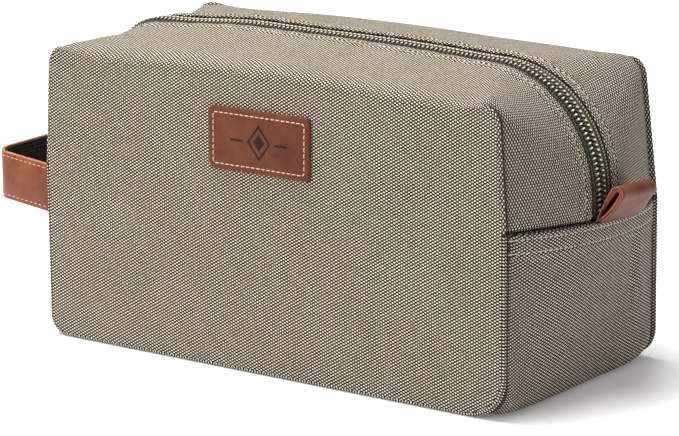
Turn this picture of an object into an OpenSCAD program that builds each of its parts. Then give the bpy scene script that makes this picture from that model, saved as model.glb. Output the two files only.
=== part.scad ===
// Shaving kit bag: a boxy canvas wash bag. One long coil zip runs over the top and down both
// ends, a leather strap handle is sewn across one end, a folded leather tab closes the zip at
// the other, and a stitched leather patch sits on the front face.
// Millimetres. Origin at the centre of the underside, +X toward the tab end, -Y the face with
// the patch, +Z up.

/* [Body] */
// Length of the front face
body_l = 260; // [236:1:290]
// Depth from front face to back face
body_w = 126; // [118:1:140]
// Height of the front and back faces
side_h = 142; // [136:1:150]
// Height of the zip line above the top edges of the faces
crown = 5; // [3:0.5:7]
// How far the tab end swells out along the middle
tab_bulge = 11; // [8:0.5:12]
// How far the handle end swells out along the middle
handle_bulge = 8; // [6:0.5:10]
// Height of the seam across each end
seam_z = 83; // [80:1:86]
// Radius of the bottom corners
bottom_r = 18; // [14:1:20]
// Radius the zip follows over the tab end
tab_end_r = 56; // [48:1:58]
// Radius the zip follows over the handle end
handle_end_r = 34; // [30:1:38]
// Thickness of the canvas
canvas_t = 1.4; // [1:0.1:1.4]

/* [Zip] */
// Width of the open band between the two canvas edges
band_w = 16; // [14:0.5:18]
// Length of each top flap between its end cuts
flap_l = 170; // [140:2:170]
// Width of the closed chain
chain_w = 8.4; // [7.6:0.2:9]
// Length of the slider
slider_l = 17; // [14:0.5:18]
// Width of the slider
slider_w = 12; // [11.4:0.2:12.4]
// Length of the pull from its pivot
pull_l = 26; // [20:1:27]

/* [Handle] */
// Width of the strap
strap_w = 23.5; // [20:0.5:25]
// How far the strap stands out from the end
strap_reach = 45.5; // [40:0.5:50]
// Thickness of the leather face of the strap
strap_t = 1.6; // [1.4:0.1:1.8]
// Thickness of the backing of the strap
backing_t = 1.3; // [1:0.1:1.6]

/* [Tab and label] */
// Width of the folded tab across the end
tab_w = 32; // [28:1:36]
// Sideways distance of the middle of the tab from the zip
tab_shift = 10; // [6:1:12]
// Width of the leather patch
label_w = 57; // [48:1:64]
// Height of the leather patch
label_h = 29.5; // [24:0.5:34]
// Height of the centre of the patch
label_z = 110; // [104:1:112]

/* [Hidden] */
hw = body_l / 2;                       // half length
fy = body_w / 2;                       // half depth
edge_r = 10;                           // rounding of the top corners of the faces
lean = 3;                              // how far the ends of the faces lean in at the top
mid_y = fy * 0.43;                     // where the swell has fallen to mid_k
mid_k = 0.8;
hinge_y = fy - 10;                     // the flaps fold up from here
gap = 0.3;                             // running gap between moving and fixed cloth
fit = 0.1;                             // gap between two sewn pieces
arc_n = 6;                             // facets in each rounded corner
slab_t = 0.3;                          // thickness of each cross outline
// depth from the face, side inset and top inset of the rolled edges of each face
edge_steps = [[10, 0, 0], [4, 0.2, 0.8], [1.2, 0.8, 3], [0, 2, 6]];
// inner and outer depth of each layer below the outside of the canvas
tape_in = [1.5, 2.1];
lining_in = [4.3, 4.9];
chain_in = [-1.1, 1.3];
band = band_w / 2;
slot = 0.7;                            // half width of the slot the slider post runs in
chain = chain_w / 2;
tape_y = band + 6;                     // the tape reaches this far under the canvas
lining_y = band + 4;                   // the lining stops this far from the middle
foam_t = 2;
board_t = 2;
reach = 400;                           // half size of the boxes that cut the cloth
flap_cut_h = 25;                       // how far the flap cuts go up and down from the top edges

// corner the slider runs around
turn_x = -(hw + handle_bulge - handle_end_r);
turn_z = side_h + crown - handle_end_r;
park_a = 172;                          // angle of the parked slider about that corner
slider_a = slider_l / handle_end_r * 180 / PI;
plate_r = handle_end_r + 1.4;          // underside of the slider's top plate
plate_t = 1;
under_r = handle_end_r - 3.7;          // inside of the slider's lower plate
under_t = 0.8;
pivot_r = plate_r + plate_t + 1.9;     // pull pivot, from the corner centre
pivot_x = turn_x + pivot_r * cos(park_a);
pivot_z = turn_z + pivot_r * sin(park_a);
bar_r = 0.8;                           // pull crossbar
bar_fit = 0.06;
bail_half = 1;                         // half thickness of the bail

strap_a = 16;                          // the strap leaves the body leaning in by this angle
strap_r = 15.5;
strap_z = seam_z - strap_w;
strap_x = -hw + 2;
strap_y = -fy + 0.8;
tab_x = hw + tab_bulge - 0.7;          // foot of the tab
tab_leather = 1.4;

function arc(x, z, r, a0, a1, n) =
    [for (i = [0 : n]) let (a = a0 + (a1 - a0) * i / n) [x + r * cos(a), z + r * sin(a)]];

// side outline of the bag where the swell is k (1 along the zip, 0 at the faces)
function outline(k, side, top, o, n = arc_n) =
    let (zt = side_h + crown * k - top,
        xr = hw - lean * (1 - k) + tab_bulge * k - side,
        xl = hw - lean * (1 - k) + handle_bulge * k - side,
        rr = edge_r + (tab_end_r - edge_r) * k,
        rl = edge_r + (handle_end_r - edge_r) * k)
    concat(
        arc(hw - bottom_r, bottom_r, bottom_r - side - o, -90, 0, n),
        [[hw + tab_bulge * k - side - o, seam_z]],
        arc(xr - rr, zt - rr, rr - o, 0, 90, n),
        arc(-(xl - rl), zt - rl, rl - o, 90, 180, n),
        [[-(hw + handle_bulge * k - side - o), seam_z]],
        arc(-(hw - bottom_r), bottom_r, bottom_r - side - o, 180, 270, n));

// height of the outside of the top at a distance y from the zip
function top_z(y) = y < mid_y
    ? side_h + crown * (1 - (1 - mid_k) * y / mid_y)
    : side_h + crown * mid_k * (hinge_y - y) / (hinge_y - mid_y);

// plan of half the strap at a depth o below its leather face, its end pushed in by more
function strap_half(o, more = 0) = concat(
    [[strap_x + o * sin(strap_a) + more * cos(strap_a),
        strap_y + o * cos(strap_a) - more * sin(strap_a)]],
    [for (p = arc(-hw - strap_reach + strap_r, strap_bend_y(), strap_r - o,
        270 - strap_a, 180, 8)) p]);
function strap_bend_y() = strap_y + (strap_r
    + (hw + strap_reach - strap_r + strap_x) * sin(strap_a)) / cos(strap_a);
function flip(points) = [for (i = [len(points) - 1 : -1 : 0]) [points[i][0], -points[i][1]]];
function back_to_front(points) = [for (i = [len(points) - 1 : -1 : 0]) points[i]];

module slab(y, points) {
    translate([0, y, 0])
        rotate([90, 0, 0])
            linear_extrude(slab_t, center = true)
                polygon(points);
}

// cross outlines from the zip to the face, all moved in by o: [distance from the zip, points]
function rows(o) = concat(
    [[0, outline(1, 0, 0, o)], [mid_y, outline(mid_k, 0, 0, o)]],
    [for (e = edge_steps) [fy - o - e[0] - slab_t / 2, outline(0, e[1], e[2], o)]]);

// the solid bag, every surface moved in by o
module envelope(o) {
    r = rows(o);
    for (s = [-1, 1])
        for (i = [1 : len(r) - 1])
            hull() {
                slab(s * r[i - 1][0], r[i - 1][1]);
                slab(s * r[i][0], r[i][1]);
            }
}

module shell(layer) {
    difference() {
        envelope(layer[0]);
        envelope(layer[1]);
    }
}

// everything in front of the zip that belongs to the front piece of cloth
module front_region(depth, near_zip) {
    translate([-reach, -reach, -reach])
        cube([2 * reach, reach - fy + depth, 2 * reach]);
    translate([-reach, -reach, seam_z + fit])
        cube([2 * reach, reach - near_zip, reach]);
}

// everything that belongs to the strip of cloth down the lower ends and across the bottom
module gusset_region(depth) {
    half = fy - depth - slab_t - 2 * fit;
    translate([-reach, -half, seam_z - reach])
        cube([2 * reach, 2 * half, reach]);
}

// the opening the front flap fills, from the fold line to near the zip
module flap_cut(near_zip) {
    translate([-flap_l / 2 - gap / 2, -hinge_y - gap / 2, side_h - flap_cut_h])
        cube([flap_l + gap, hinge_y + gap / 2 - near_zip + 1, 2 * flap_cut_h]);
}

module strap_solid(o0, o1, grow) {
    a = strap_half(o0, grow * 3);
    b = strap_half(o1, grow * 3);
    translate([0, 0, strap_z - grow])
        linear_extrude(strap_w + 2 * grow)
            polygon(concat(a, flip(a), back_to_front(flip(b)), back_to_front(b)));
}

module strap_pocket() {
    strap_solid(-fit, strap_t + backing_t + 2 * fit, fit);
}

module tab_tail(grow) {
    translate([tab_x - 4 - grow, tab_shift - tab_w / 2 - grow, seam_z - tab_leather - grow])
        cube([5 + 2 * grow, tab_w + 2 * grow, 2 * tab_leather + 2 * grow]);
}

// the front piece of a layer of cloth: the face, half of the top and the upper ends
module cloth_half(layer, near_zip) {
    difference() {
        intersection() {
            shell(layer);
            front_region(layer[1] + slab_t + fit, near_zip);
        }
        flap_cut(near_zip);
    }
}

module front_panel() {
    color([0.55, 0.50, 0.40])
        difference() {
            cloth_half([0, canvas_t], band);
            strap_pocket();
            tab_tail(fit);
        }
}

module back_panel() {
    color([0.55, 0.50, 0.40])
        difference() {
            mirror([0, 1, 0])
                cloth_half([0, canvas_t], band);
            strap_pocket();
            tab_tail(fit);
        }
}

module gusset_panel() {
    color([0.50, 0.46, 0.36])
        difference() {
            intersection() {
                shell([0, canvas_t]);
                gusset_region(canvas_t);
            }
            strap_pocket();
            tab_tail(fit);
        }
}

module foam_sheet() {
    translate([-hw + 12, -fy + canvas_t + 0.3, 8])
        cube([body_l - 24, foam_t, side_h - 24]);
}

module front_foam() {
    color([0.85, 0.84, 0.80])
        foam_sheet();
}

module back_foam() {
    color([0.85, 0.84, 0.80])
        mirror([0, 1, 0])
            foam_sheet();
}

module base_board() {
    color([0.35, 0.32, 0.28])
        translate([-hw + bottom_r + 2, -fy + 6, canvas_t + 2 * fit])
            cube([body_l - 2 * bottom_r - 4, body_w - 12, board_t]);
}

module lining_front() {
    color([0.30, 0.27, 0.22])
        cloth_half(lining_in, lining_y);
}

module lining_back() {
    color([0.30, 0.27, 0.22])
        mirror([0, 1, 0])
            cloth_half(lining_in, lining_y);
}

module lining_gusset() {
    half = fy - lining_in[1] - slab_t - 2 * fit;
    color([0.30, 0.27, 0.22])
        intersection() {
            rotate([90, 0, 0])
                linear_extrude(2 * half, center = true)
                    difference() {
                        polygon(outline(0, 0, 0, lining_in[0]));
                        polygon(outline(0, 0, 0, lining_in[1]));
                    }
            gusset_region(lining_in[1]);
        }
}

// cuts away whatever the flaps carry
module between_flap_ends() {
    translate([-flap_l / 2 - gap / 2, -fy, side_h - flap_cut_h])
        cube([flap_l + gap, body_w, 2 * flap_cut_h]);
}

module tape_half() {
    difference() {
        intersection() {
            shell(tape_in);
            translate([-reach, -tape_y, seam_z + 2 * tab_leather])
                cube([2 * reach, tape_y - slot, reach]);
        }
        between_flap_ends();
    }
}

module zip_tape_front() {
    color([0.30, 0.29, 0.19])
        tape_half();
}

module zip_tape_back() {
    color([0.30, 0.29, 0.19])
        mirror([0, 1, 0])
            tape_half();
}

module coil_half() {
    tab_end_gap = 10;                  // the teeth end this far above the seam, under the tab
    handle_end_gap = 2;
    difference() {
        translate([0, -slot, 0])
            rotate([90, 0, 0])
                linear_extrude(chain - slot)
                    difference() {
                        polygon(outline(1, 0, 0, chain_in[0], 12));
                        polygon(outline(1, 0, 0, chain_in[1], 12));
                    }
        translate([-reach, -fy, seam_z + handle_end_gap - reach])
            cube([reach, body_w, reach]);
        translate([0, -fy, seam_z + tab_end_gap - reach])
            cube([reach, body_w, reach]);
        between_flap_ends();
    }
}

module zip_coil_front() {
    color([0.26, 0.25, 0.15])
        coil_half();
}

module zip_coil_back() {
    color([0.26, 0.25, 0.15])
        mirror([0, 1, 0])
            coil_half();
}

module zip_end_stop() {
    stop_z = turn_z - 11;
    color([0.45, 0.42, 0.34])
        difference() {
            translate([-hw - handle_bulge - 2, -chain - 0.7, stop_z])
                cube([2.8, chain_w + 1.4, 3]);
            translate([-hw - handle_bulge + chain_in[0] - fit, -chain - fit, stop_z - 1])
                cube([5, chain_w + 2 * fit, 5]);
        }
}

module handle_strap() {
    color([0.55, 0.27, 0.14])
        strap_solid(0, strap_t, 0);
}

module handle_backing() {
    color([0.06, 0.06, 0.06])
        strap_solid(strap_t + fit, strap_t + fit + backing_t, 0);
}

module end_tab() {
    fold_x = tab_x + 8;
    fold_z = seam_z + 12.3;
    fold_r = 4.6;
    color([0.55, 0.27, 0.14])
        union() {
            tab_tail(0);
            translate([0, tab_shift, 0])
                rotate([90, 0, 0])
                    linear_extrude(tab_w, center = true)
                        difference() {
                            polygon(concat(
                                [[tab_x + 0.4, seam_z + tab_leather]],
                                arc(fold_x, fold_z, fold_r, 165, -51, 14),
                                [[tab_x + 3.2, seam_z - 0.6], [tab_x + 0.9, seam_z - tab_leather],
                                    [tab_x + 0.4, seam_z - tab_leather]]));
                            polygon(concat(
                                [[tab_x + 2.5, seam_z + 2.6]],
                                arc(fold_x, fold_z, fold_r - tab_leather, 165, -51, 14)));
                        }
        }
}

module label_patch() {
    corner = 3;
    label_t = 1.6;
    color([0.36, 0.18, 0.10])
        translate([-1, -fy, label_z])
            rotate([90, 0, 0])
                linear_extrude(label_t)
                    union() {
                        square([label_w - 2 * corner, label_h], center = true);
                        square([label_w, label_h - 2 * corner], center = true);
                        for (x = [-1, 1])
                            for (z = [-1, 1])
                                translate([x * (label_w / 2 - corner), z * (label_h / 2 - corner)])
                                    circle(corner, $fn = 32);
                    }
}

// a strip of the front flap between two distances from the zip, at the given depths
module flap_strip(y0, y1, layer) {
    ys = y1 > mid_y ? [y0, mid_y, y1] : [y0, y1];
    translate([-flap_l / 2 + gap / 2, 0, 0])
        rotate([90, 0, 90])
            linear_extrude(flap_l - gap)
                polygon(concat(
                    [for (y = ys) [-y, top_z(y) - layer[0]]],
                    back_to_front([for (y = ys) [-y, top_z(y) - layer[1]]])));
}

module front_flap_canvas() {
    color([0.55, 0.50, 0.40])
        flap_strip(band, hinge_y - gap / 2, [0, canvas_t]);
}

module front_flap_lining() {
    color([0.30, 0.27, 0.22])
        flap_strip(lining_y, hinge_y - gap / 2, lining_in);
}

module front_flap_tape() {
    color([0.30, 0.29, 0.19])
        flap_strip(slot, tape_y, tape_in);
}

module front_flap_coil() {
    color([0.26, 0.25, 0.15])
        flap_strip(slot, chain, chain_in);
}

module back_flap_canvas() {
    color([0.55, 0.50, 0.40])
        mirror([0, 1, 0])
            flap_strip(band, hinge_y - gap / 2, [0, canvas_t]);
}

module back_flap_lining() {
    color([0.30, 0.27, 0.22])
        mirror([0, 1, 0])
            flap_strip(lining_y, hinge_y - gap / 2, lining_in);
}

module back_flap_tape() {
    color([0.30, 0.29, 0.19])
        mirror([0, 1, 0])
            flap_strip(slot, tape_y, tape_in);
}

module back_flap_coil() {
    color([0.26, 0.25, 0.15])
        mirror([0, 1, 0])
            flap_strip(slot, chain, chain_in);
}

// turns a section drawn as [radius, across] about the corner the slider runs around
module around_turn(from_a, sweep) {
    translate([turn_x, 0, turn_z])
        rotate([90, 0, 0])
            rotate([0, 0, from_a])
                rotate_extrude(angle = sweep, $fn = 96)
                    children();
}

module slider_body() {
    flange = 1;
    half = slider_w / 2;
    color([0.62, 0.60, 0.55])
        union() {
            around_turn(park_a - slider_a / 2, slider_a)
                union() {
                    translate([plate_r, -half])
                        square([plate_t, slider_w]);
                    for (s = [-half, half - flange])
                        translate([plate_r - 2.5, s])
                            square([2.6, flange]);
                    translate([under_r, -half + flange])
                        square([under_t, slider_w - 2 * flange]);
                }
            around_turn(park_a - slider_a / 2 + 1, 5)
                translate([under_r + 0.1, -slot / 2])
                    square([plate_r - under_r, slot]);
        }
}

module slider_bail() {
    foot = plate_r + plate_t + 0.02;   // sits on the curved plate
    crest = pivot_r + bar_r + 1.1;
    color([0.62, 0.60, 0.55])
        translate([turn_x, 0, turn_z])
            rotate([90, 0, 0])
                rotate([0, 0, park_a])
                    linear_extrude(2 * bail_half, center = true)
                        difference() {
                            polygon([[foot, -5], [foot + 1.6, -4.2], [crest, -1.6],
                                [crest, 1.6], [foot + 1.6, 4.2], [foot, 5]]);
                            translate([pivot_r, 0])
                                circle(bar_r + bar_fit, $fn = 48);
                        }
}

// the pull hangs from the bail: crossbar, two arms and a rounded grip
module zip_pull() {
    arm = 1.3;
    arm_in = bail_half + 0.4;
    arm_out = arm_in + arm;
    window = 7;
    grip_half = 4;
    color([0.62, 0.60, 0.55])
        translate([pivot_x, 0, pivot_z])
            union() {
                rotate([90, 0, 0])
                    cylinder(r = bar_r, h = 2 * arm_out, center = true, $fn = 48);
                for (s = [-1, 1])
                    translate([-bar_r, s > 0 ? arm_in : -arm_out, -window])
                        cube([2 * bar_r, arm, window]);
                translate([-bar_r, 0, 0])
                    rotate([90, 0, 90])
                        linear_extrude(2 * bar_r)
                            union() {
                                translate([-grip_half, -pull_l + grip_half])
                                    square([2 * grip_half, pull_l - grip_half - window]);
                                translate([0, -pull_l + grip_half])
                                    circle(grip_half, $fn = 48);
                            }
            }
}

front_panel();
back_panel();
gusset_panel();
front_foam();
back_foam();
base_board();
lining_front();
lining_back();
lining_gusset();
zip_tape_front();
zip_tape_back();
zip_coil_front();
zip_coil_back();
zip_end_stop();
handle_strap();
handle_backing();
end_tab();
label_patch();
front_flap_canvas();
front_flap_lining();
front_flap_tape();
front_flap_coil();
back_flap_canvas();
back_flap_lining();
back_flap_tape();
back_flap_coil();
slider_body();
slider_bail();
zip_pull();
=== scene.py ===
import math
import bmesh
import bpy
import numpy as np
from mathutils import Matrix, Vector


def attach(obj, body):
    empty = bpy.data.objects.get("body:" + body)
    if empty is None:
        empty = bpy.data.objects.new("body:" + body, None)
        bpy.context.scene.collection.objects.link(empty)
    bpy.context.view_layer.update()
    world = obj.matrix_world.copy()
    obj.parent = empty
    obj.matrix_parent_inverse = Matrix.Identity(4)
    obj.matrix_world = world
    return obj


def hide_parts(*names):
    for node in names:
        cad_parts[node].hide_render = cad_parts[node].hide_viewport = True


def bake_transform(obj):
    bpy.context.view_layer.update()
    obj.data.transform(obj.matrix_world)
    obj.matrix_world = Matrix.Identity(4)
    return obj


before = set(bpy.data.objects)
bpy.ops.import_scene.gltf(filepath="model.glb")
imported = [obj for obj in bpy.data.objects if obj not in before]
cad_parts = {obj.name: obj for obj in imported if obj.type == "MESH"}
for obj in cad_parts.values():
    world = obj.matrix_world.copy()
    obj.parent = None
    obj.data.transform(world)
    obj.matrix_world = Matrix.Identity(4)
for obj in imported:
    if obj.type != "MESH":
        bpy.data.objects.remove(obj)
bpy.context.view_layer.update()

# ---- sizes, millimetres
HW, FY, SH = 130.0, 63.0, 142.0     # half length, half depth, height at the faces
CROWN, TOP_ARCH = 5.0, 2.6      # the top stands higher beside the zip, and highest in the middle
TAB_BULGE, HANDLE_BULGE = 11.0, 8.0     # the ends stand out by this on the middle line
TAB_PUSH, HANDLE_PUSH = 2.4, 2.6        # and by this along their back edge
SEAM_Z = 83.0                   # height of the end seams
TAB_R, HANDLE_R, EDGE_R = 56.0, 34.0, 10.0  # turns of the cloth: two under the zip, one at a face
LEAN = 3.0                      # the top corners stand in by this
TOTAL = 181.5                   # along the upper cloth from the middle to an end seam
SEAM_RUN, LOW_RUN = 181.0, 205.0        # lengths from which the way to an end seam is counted
FLAP_X = 86.4                   # the flaps bend up between these distances from the middle
FACE_Z = 70.0                   # middle of a face
STITCH_D = 50.6                 # row of stitches beside the zip, from the face
HEM_ROWS = (3.0, 9.0)           # rows of stitches below an end seam
# length, gap and radius of the stitches, and how deep they lie
KHAKI_STITCH, TAN_STITCH, CREAM_STITCH = (2.5, 0.7, 0.3), (2.9, 0.9, 0.3, 0.12), (2.1, 0.75, 0.3, 0.0)
TOP_SEED, LOW_SEED, FRONT_SEED, BACK_SEED = 11, 23, 31, 37      # unevenness of each cloth
YARN_U, YARN_V = 0.00128, 0.00075   # weave pitch along and across the cloth, metres
MM = 0.001


def smooth(t):
    """A soft step from 0 to 1."""
    t = np.clip(t, 0, 1)
    return t * t * (3 - 2 * t)


def bell(x, mid, width):
    """1 at mid, fading to both sides."""
    return np.exp(-((x - mid) / width) ** 2)


def swell(y):
    """1 on the middle line, 0 beside the faces."""
    a = np.clip(np.abs(y) / 58.0, 0, 1)
    return (1 - a * a) ** 1.3


def at_back(y):
    """0 in front, 1 along the back edge."""
    return smooth((y - 10) / 50)


def seam_height(y, side):
    """Height of an end seam; the one at the tab end dips toward the back."""
    if side > 0:
        t = np.where(y > 0, 0.55 * np.tanh(y / FY / 0.55), y / FY)
        return SEAM_Z - 2.6 - 5.6 * t - 1.1 * t * t
    return SEAM_Z - 0.2 - y / FY


def top_path(u, y):
    """Outside of the upper cloth: u from -1 (seam at the handle end) to 1 (seam at the tab end).

    Returns x, z, the outward direction in that plane and the distance along the cloth from
    the middle, which is negative toward the handle end."""
    u, y = np.broadcast_arrays(np.asarray(u, float), np.asarray(y, float))
    k = swell(y)
    out = [np.zeros_like(k) for _ in range(5)]
    rear = at_back(y)
    for side, bulge, push, big, spread, out_lean, wider in (
            (1, TAB_BULGE, TAB_PUSH, TAB_R, 1.0, 0.3, 0.0),
            (-1, HANDLE_BULGE, HANDLE_PUSH, HANDLE_R, 0.55, -3.0, 1.0)):
        zs = seam_height(y, side)
        zt = SH + CROWN * k + 0.5 * rear
        xt = HW - LEAN * (1 - k) * (1 + out_lean * rear) + bulge * k
        xs = HW + bulge * k + push * rear
        corner = EDGE_R + wider * rear
        r = corner + (big - corner) * k ** spread
        a = xt - r
        b = a + r * math.pi / 2
        drop = zt - r - zs
        total = b + np.hypot(drop, xs - xt)
        s = np.abs(u) * total
        phi = np.clip((s - a) / r, 0, math.pi / 2)
        t = np.clip((s - b) / np.maximum(total - b, 1e-6), 0, 1)
        arch = TOP_ARCH * k * smooth((a - s) / 60)
        x = np.where(s < a, s, np.where(s < b, a + r * np.sin(phi), xt + (xs - xt) * t))
        z = np.where(s < a, zt + arch,
                     np.where(s < b, zt - r + r * np.cos(phi), zt - r - drop * t))
        nx, nz = np.sin(phi), np.cos(phi)
        pick = u >= 0 if side > 0 else u < 0
        for o, v in zip(out, (side * x, z, side * nx, nz, side * s)):
            o[pick] = v[pick]
    return out


def low_path(w, y):
    """Outside of the strip down the lower ends and across the bottom: w from -1 to 1."""
    w, y = np.broadcast_arrays(np.asarray(w, float), np.asarray(y, float))
    k = swell(y)
    out = [np.zeros_like(k) for _ in range(5)]
    far = np.clip(np.abs(y) / FY, 0, 1)
    for side, bulge in ((1, TAB_BULGE), (-1, HANDLE_BULGE)):
        zs = seam_height(y, side)
        r = 7 + np.where(y > 0, 8.0 * far ** 4, (15.0 if side > 0 else 3.0) * far ** 9)
        a = HW - r
        b = a + r * math.pi / 2
        total = b + zs - r
        s = np.abs(w) * total
        phi = np.clip((s - a) / r, 0, math.pi / 2)
        t = np.clip((s - b) / (total - b), 0, 1)
        push = TAB_PUSH if side > 0 else HANDLE_PUSH * t
        grow = bulge * k * np.sin(t * math.pi / 2) + push * at_back(y)
        x = np.where(s < a, s, np.where(s < b, a + r * np.sin(phi), HW)) + grow
        z = np.where(s < b, r - r * np.cos(phi), r + (zs - r) * t)
        nx, nz = np.sin(phi), -np.cos(phi)
        pick = w >= 0 if side > 0 else w < 0
        for o, v in zip(out, (side * x, z, side * nx, nz, side * s)):
            o[pick] = v[pick]
    return out


def waves(x, y, z, seed):
    """Slow unevenness of stuffed cloth, about -1 to 1."""
    rng = np.random.default_rng(seed)
    total = np.zeros(np.broadcast(x, y, z).shape)
    for i in range(9):
        v = rng.normal(size=3)
        v /= np.linalg.norm(v)
        length = rng.uniform(38, 110)
        total = total + np.sin((x * v[0] + y * v[1] + z * v[2]) * 2 * math.pi / length
                               + rng.uniform(0, 6.28)) * length / 90
    return total / 4.5


def sag(x, y, z):
    """The long top edges dip between the corners."""
    near = bell(FY - np.abs(y), 0, 22) * (1 - 2.2 * smooth(y / 50 + 0.3))
    along = np.cos(np.clip(x / 262, -0.5, 0.5) * math.pi) ** 2
    return -2.6 * along * smooth((z - 96) / 44) * near


def rounded_edge(d, width, drop):
    """Depth of an edge that rolls over within width."""
    return np.where(d < width, drop * (1 - np.sqrt(np.clip(1 - (1 - d / width) ** 2, 0, 1))), 0)


def side_profile(d):
    """Depth below the outside beside a sewn edge, d from the face: roll, groove and recess."""
    seam = 2.15
    groove = 3.0 * bell(d, seam, 0.5)
    recess = np.where(d > seam, 2.2 * np.exp(-(d - seam) / 4.5), 0.3 * np.exp(-(seam - d) / 0.5))
    return rounded_edge(d, 1.7, 1.7) + groove + recess


def top_profile(d):
    """Depth below the outside beside a rolled top edge, d from the face."""
    return rounded_edge(d, 10, 6)


def at_end(s):
    """0 along the rolled top edges, 1 down the sewn edges of the ends."""
    return smooth((np.abs(s) - 115) / 8)


def hem_drop(s, side):
    """The hems lie lower beside the zip where it turns down the handle end."""
    corner = bell(s, -119, 16)
    return -0.7 + 1.3 * corner if side > 0 else 0.1 + 2.0 * corner


def upper(u, d, side, lift=0.0):
    """Upper cloth: u along, d across from the face (0 to 55), side -1 front or 1 back."""
    u, d = np.broadcast_arrays(np.asarray(u, float), np.asarray(d, float))
    y = FY - d
    x, z, nx, nz, s = top_path(u, y * side)
    e, far = at_end(s), np.abs(s)
    flatten = 1 - (0.7 if side > 0 else 0.62) * smooth((far - 95) / 22)
    depth = e * side_profile(d) + (1 - e) * top_profile(d) * flatten
    to_seam = (1 - np.abs(u)) * SEAM_RUN
    depth = depth + 1.5 * bell(to_seam, 0, 1.5) * (1 - bell(d, 0, 2))
    # folded hem beside the zip with its row of stitches, and slight gathers along it
    depth = depth - 0.45 * smooth((d - 46.5) / 1.2) + 0.5 * bell(d, STITCH_D, 0.55)
    gathers = np.sin(s * 2 * math.pi / 13.7 + 1.9 * np.sin(s / 31.0)) * bell(d, 50, 7)
    depth = depth - 0.22 * gathers + hem_drop(s, side) * smooth((d - 42) / 8)
    # the cloth dips behind the corners, most at the handle end
    depth = depth + np.where(u < 0, 3.0, 0.6) * bell(far, 120, 17) * bell(d, 37, 12)
    depth = depth - 0.9 * (1 - bell(d, 0, 9)) * waves(x, y * side, z, TOP_SEED)
    # pull lines fanning from the ends of the sewn edges
    fan = np.sin((d - 0.55 * np.abs(far - 121)) / 3.1)
    depth = depth - 0.35 * fan * bell(far, 121, 13) * bell(d, 9, 8)
    p = depth - lift
    x3, z3 = x - nx * p, z - nz * p
    return np.stack([x3, y * side, z3 + sag(x3, y, z3)], -1), s


def lower(w, d, lift=0.0):
    """Strip under and round the ends: w along, d across from the front face (0 to 126)."""
    w, d = np.broadcast_arrays(np.asarray(w, float), np.asarray(d, float))
    y = -FY + d
    x, z, nx, nz, s = low_path(w, y)
    edge = np.minimum(d, 2 * FY - d)
    depth = side_profile(edge)
    to_seam = (1 - np.abs(w)) * LOW_RUN
    inside = smooth((edge - 2.2) / 0.8)
    hem = 1 - smooth((to_seam - 11) / 1.5)
    depth = depth + inside * (1.7 * bell(to_seam, 0, 0.55) - 0.7 * hem)
    for row in HEM_ROWS:
        depth = depth + inside * 0.45 * bell(to_seam, row, 0.6)
    body = (1 - bell(edge, 0, 9)) * np.abs(nx)
    depth = depth - 1.3 * body * waves(x, y, z, LOW_SEED)
    # soft folds down the ends, stronger beside the tab
    off = y - 33 + 0.10 * (z - 60)
    fold = 1.1 * bell(off, 0, 3.4) - 0.9 * bell(off, 8, 4.5) + 0.5 * bell(off, -14, 4)
    depth = depth + np.where(w > 0, fold, 0.6 * fold) * smooth((z - 22) / 22) \
        * smooth((to_seam - 4) / 14) * np.abs(nx) * inside
    p = depth - lift
    return np.stack([x - nx * p, y, z - nz * p], -1), s


# ---- meshes
class Patch:
    """A grid of points, each with its place on the flat cloth and, as a third value, how much painted
    shade it gets.
    """

    def __init__(self, points, flat, pointed=False):
        self.p, self.f = np.asarray(points, float), np.asarray(flat, float)
        self.pointed = pointed      # the last row is one point

    def cut(self, rows=slice(None), cols=slice(None)):
        return Patch(self.p[rows, cols], self.f[rows, cols])


def grid_faces(rows, cols, start, flip):
    """The quads of a grid whose first vertex has the number start."""
    i = np.arange(rows - 1)[:, None] * cols + np.arange(cols - 1)[None, :] + start
    q = np.stack([i, i + 1, i + cols + 1, i + cols], -1).reshape(-1, 4)
    return q[:, ::-1] if flip else q


def mesh_object(name, verts, faces, material, flat=None, normals=None):
    """An object from millimetres; flat holds the place on the flat cloth and the seam value, which is
    painted shade on the canvas and painted highlight and shade on the coil.
    """
    mesh = bpy.data.meshes.new(name)
    corners = [list(dict.fromkeys(map(int, f))) for f in faces]     # each vertex once
    mesh.from_pydata((np.asarray(verts) * MM).tolist(), [], corners)
    mesh.polygons.foreach_set("use_smooth", [True] * len(mesh.polygons))
    if flat is not None:
        flat = np.asarray(flat, float)
        layer = mesh.uv_layers.new(name="UVMap")
        loops = np.empty(len(mesh.loops), int)
        mesh.loops.foreach_get("vertex_index", loops)
        layer.data.foreach_set("uv", (flat[loops, :2] * MM).ravel())
        # the third column becomes the seam attribute: painted shade on the canvas, painted highlight
        # and shade on the coil
        if flat.shape[1] > 2:
            seam = mesh.attributes.new("seam", "FLOAT", "POINT")
            seam.data.foreach_set("value", flat[:, 2].copy())
    mesh.materials.append(material)
    mesh.update()
    if normals is not None:
        mesh.normals_split_custom_set_from_vertices(normals.tolist())
    obj = bpy.data.objects.new(name, mesh)
    bpy.context.scene.collection.objects.link(obj)
    return obj


def gather(patches):
    """Joins (patch, flip) pairs into vertices, quads and flat positions."""
    v, f, u, n = [], [], [], 0
    for patch, flip in patches:
        r, c = patch.p.shape[:2]
        count = (r - 1) * c + 1 if patch.pointed else r * c
        v.append(patch.p.reshape(-1, 3)[:count])
        u.append(patch.f.reshape(-1, patch.f.shape[-1])[:count])
        f.append(np.minimum(grid_faces(r, c, n, flip), n + count - 1))
        n += count
    return np.concatenate(v), np.concatenate(f), np.concatenate(u)


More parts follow.
